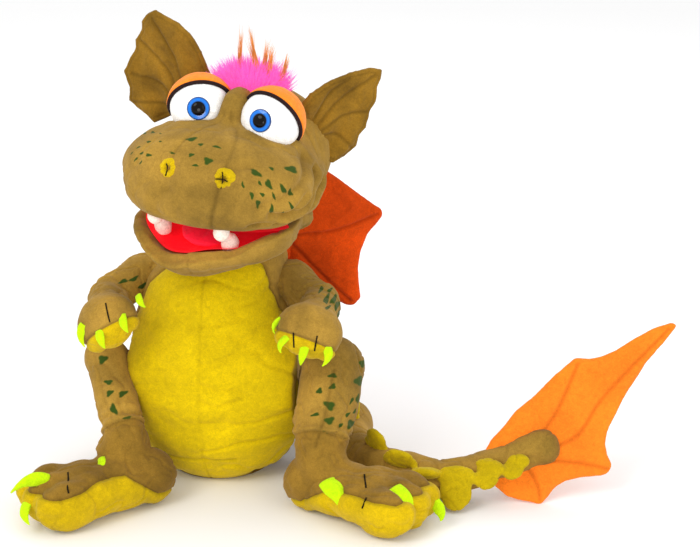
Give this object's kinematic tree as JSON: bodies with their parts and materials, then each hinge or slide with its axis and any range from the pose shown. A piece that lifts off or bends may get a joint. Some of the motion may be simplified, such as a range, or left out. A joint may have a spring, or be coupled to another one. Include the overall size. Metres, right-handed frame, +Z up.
{
  "type": "hand puppet",
  "caption": "Seated plush dragon hand puppet with a hand-worked mouth, turning head, jointed arms, legs, wings and tail, and an arm opening in the back.",
  "frame": {"origin": "centre of the flat seat face on the ground under the trunk", "axes": "+Z up, -Y the way the puppet's trunk faces, +X to the puppet's left, where the tail lies"},
  "size_m": [0.6422, 0.3939, 0.4831],
  "materials": {
    "olive_plush": "soft velour pile",
    "belly_plush": "soft velour pile",
    "paw_plush": "soft velour pile",
    "claw_felt": "dense felt",
    "orange_plush": "quilted velour",
    "lash_felt": "dense felt",
    "lid_plush": "soft velour pile",
    "eye_white": "smooth fabric-covered ball",
    "iris_blue": "glossy",
    "pupil_black": "glossy",
    "mouth_red": "satin lining",
    "tongue_pink": "satin lining",
    "tooth_plush": "short pile",
    "hair_fur": "long pile fur",
    "hair_strand": "long pile fur",
    "mouth_board": "stiff sheet",
    "lining_fabric": "woven lining",
    "seat_fabric": "soft velour pile"
  },
  "bodies": {
    "trunk": {"belly_panel": "belly_plush", "back_panel": "olive_plush", "left_side_panel": "olive_plush", "right_side_panel": "olive_plush", "seat_pad": "seat_fabric", "arm_tunnel_lining": "lining_fabric", "hand_entry_hem": "lining_fabric"},
    "neck": {"neck_base": "olive_plush"},
    "neck_ring": {"neck_ring": "olive_plush"},
    "head": {"muzzle_cover": "olive_plush", "cranium_cover": "olive_plush", "nostrils": "paw_plush", "hair_tuft": "hair_fur", "hair_strands": "hair_strand", "upper_mouth_plate": "mouth_board", "upper_mouth_lining": "mouth_red", "upper_teeth": "tooth_plush", "left_eyeball": "eye_white", "right_eyeball": "eye_white", "left_eyelid": "lid_plush", "right_eyelid": "lid_plush", "irises": "iris_blue", "pupils": "pupil_black", "lash_bands": "lash_felt"},
    "jaw": {"jaw_cover": "olive_plush", "lower_mouth_plate": "mouth_board", "lower_mouth_lining": "mouth_red", "tongue": "tongue_pink", "lower_teeth": "tooth_plush"},
    "right_ear": {"right_ear": "olive_plush"},
    "left_ear": {"left_ear": "olive_plush"},
    "left_upper_arm": {"left_upper_arm": "olive_plush"},
    "left_forearm": {"left_forearm": "olive_plush"},
    "left_hand": {"left_paw": "olive_plush", "left_palm": "paw_plush", "left_hand_claws": "claw_felt"},
    "left_thigh": {"left_thigh": "olive_plush"},
    "left_shin": {"left_shin": "olive_plush"},
    "left_foot": {"left_foot": "olive_plush", "left_sole": "paw_plush", "left_foot_claws": "claw_felt"},
    "left_wing": {"left_wing": "orange_plush"},
    "right_upper_arm": {"right_upper_arm": "olive_plush"},
    "right_forearm": {"right_forearm": "olive_plush"},
    "right_hand": {"right_paw": "olive_plush", "right_palm": "paw_plush", "right_hand_claws": "claw_felt"},
    "right_thigh": {"right_thigh": "olive_plush"},
    "right_shin": {"right_shin": "olive_plush"},
    "right_foot": {"right_foot": "olive_plush", "right_sole": "paw_plush", "right_foot_claws": "claw_felt"},
    "right_wing": {"right_wing": "orange_plush"},
    "tail_base": {"tail_base": "olive_plush", "tail_base_plates": "paw_plush"},
    "tail_middle": {"tail_middle": "olive_plush", "tail_middle_plates": "paw_plush"},
    "tail_tip": {"tail_tip": "olive_plush", "tail_tip_plates": "paw_plush"},
    "tail_fin": {"tail_fin": "orange_plush"}
  },
  "joints": [
    {"name": "neck_turn", "type": "hinge", "parent": "trunk", "child": "neck", "pos_m": [0.016, 0.004, 0.268], "axis": [0, 0, 1], "range_deg": [-30, 20]},
    {"name": "head_tilt", "type": "hinge", "parent": "neck", "child": "neck_ring", "pos_m": [0.016, 0.004, 0.268], "axis": [0, 1, 0], "range_deg": [-10, 4]},
    {"name": "head_nod", "type": "hinge", "parent": "neck_ring", "child": "head", "pos_m": [0.016, 0.004, 0.268], "axis": [-1, 0, 0], "range_deg": [-6, 4]},
    {"name": "jaw_hinge", "type": "hinge", "parent": "head", "child": "jaw", "pos_m": [0.032, 0.002, 0.293], "axis": [0.9794, -0.1727, -0.1045], "range_deg": [-3, 11]},
    {"name": "right_ear_flop", "type": "hinge", "parent": "head", "child": "right_ear", "pos_m": [-0.03594, 0.02007, 0.37276], "axis": [0.8322, -0.2929, 0.4708], "range_deg": [-18, 18]},
    {"name": "left_ear_flop", "type": "hinge", "parent": "head", "child": "left_ear", "pos_m": [0.10944, 0.00053, 0.35132], "axis": [0.4338, 0.444, -0.784], "range_deg": [-18, 18]},
    {"name": "right_shoulder", "type": "hinge", "parent": "trunk", "child": "right_upper_arm", "pos_m": [-0.079, -0.002, 0.2], "axis": [0, 0, -1], "range_deg": [0, 40]},
    {"name": "right_elbow", "type": "hinge", "parent": "right_upper_arm", "child": "right_forearm", "pos_m": [-0.102, -0.042, 0.188], "axis": [-1, 0, 0], "range_deg": [-10, 32]},
    {"name": "right_wrist", "type": "hinge", "parent": "right_forearm", "child": "right_hand", "pos_m": [-0.093, -0.079, 0.188], "axis": [-1, 0, 0], "range_deg": [-12, 22]},
    {"name": "right_hip", "type": "hinge", "parent": "trunk", "child": "right_thigh", "pos_m": [-0.096, 0.022, 0.052], "axis": [0, 0, -1], "range_deg": [0, 20]},
    {"name": "right_knee", "type": "hinge", "parent": "right_thigh", "child": "right_shin", "pos_m": [-0.105, -0.052, 0.127], "axis": [-1, 0, 0], "range_deg": [-3, 28]},
    {"name": "right_ankle", "type": "hinge", "parent": "right_shin", "child": "right_foot", "pos_m": [-0.07, -0.11, 0.062], "axis": [-0.65, 0.76, 0], "range_deg": [-7, 14]},
    {"name": "left_shoulder", "type": "hinge", "parent": "trunk", "child": "left_upper_arm", "pos_m": [0.079, -0.002, 0.2], "axis": [0, 0, 1], "range_deg": [0, 40]},
    {"name": "left_elbow", "type": "hinge", "parent": "left_upper_arm", "child": "left_forearm", "pos_m": [0.112, -0.035, 0.19], "axis": [-1, 0, 0], "range_deg": [-10, 32]},
    {"name": "left_wrist", "type": "hinge", "parent": "left_forearm", "child": "left_hand", "pos_m": [0.116, -0.073, 0.19], "axis": [-1, 0, 0], "range_deg": [-12, 22]},
    {"name": "left_hip", "type": "hinge", "parent": "trunk", "child": "left_thigh", "pos_m": [0.096, 0.022, 0.052], "axis": [0, 0, 1], "range_deg": [-10, 0]},
    {"name": "left_knee", "type": "hinge", "parent": "left_thigh", "child": "left_shin", "pos_m": [0.127, -0.042, 0.128], "axis": [-1, 0, 0], "range_deg": [-3, 28]},
    {"name": "left_ankle", "type": "hinge", "parent": "left_shin", "child": "left_foot", "pos_m": [0.124, -0.101, 0.06], "axis": [-0.3697, -0.9292, 0], "range_deg": [-7, 14]},
    {"name": "left_wing_flap", "type": "hinge", "parent": "trunk", "child": "left_wing", "pos_m": [0.058, 0.066, 0.238], "axis": [0, 0, 1], "range_deg": [-10, 12]},
    {"name": "right_wing_flap", "type": "hinge", "parent": "trunk", "child": "right_wing", "pos_m": [-0.058, 0.066, 0.238], "axis": [0, 0, -1], "range_deg": [-56, 4]},
    {"name": "tail_root_swing", "type": "hinge", "parent": "trunk", "child": "tail_base", "pos_m": [0.016, 0.096, 0.027], "axis": [0, 0, 1], "range_deg": [0, 28]},
    {"name": "tail_middle_swing", "type": "hinge", "parent": "tail_base", "child": "tail_middle", "pos_m": [0.136, 0.016, 0.023], "axis": [0, 0, 1], "range_deg": [-2, 24]},
    {"name": "tail_tip_swing", "type": "hinge", "parent": "tail_middle", "child": "tail_tip", "pos_m": [0.24, -0.058, 0.022], "axis": [0, 0, 1], "range_deg": [-22, 22]},
    {"name": "tail_fin_roll", "type": "hinge", "parent": "tail_tip", "child": "tail_fin", "pos_m": [0.333, -0.03, 0.05], "axis": [0.9201, 0.277, 0.277], "range_deg": [-15, 15]}
  ]
}
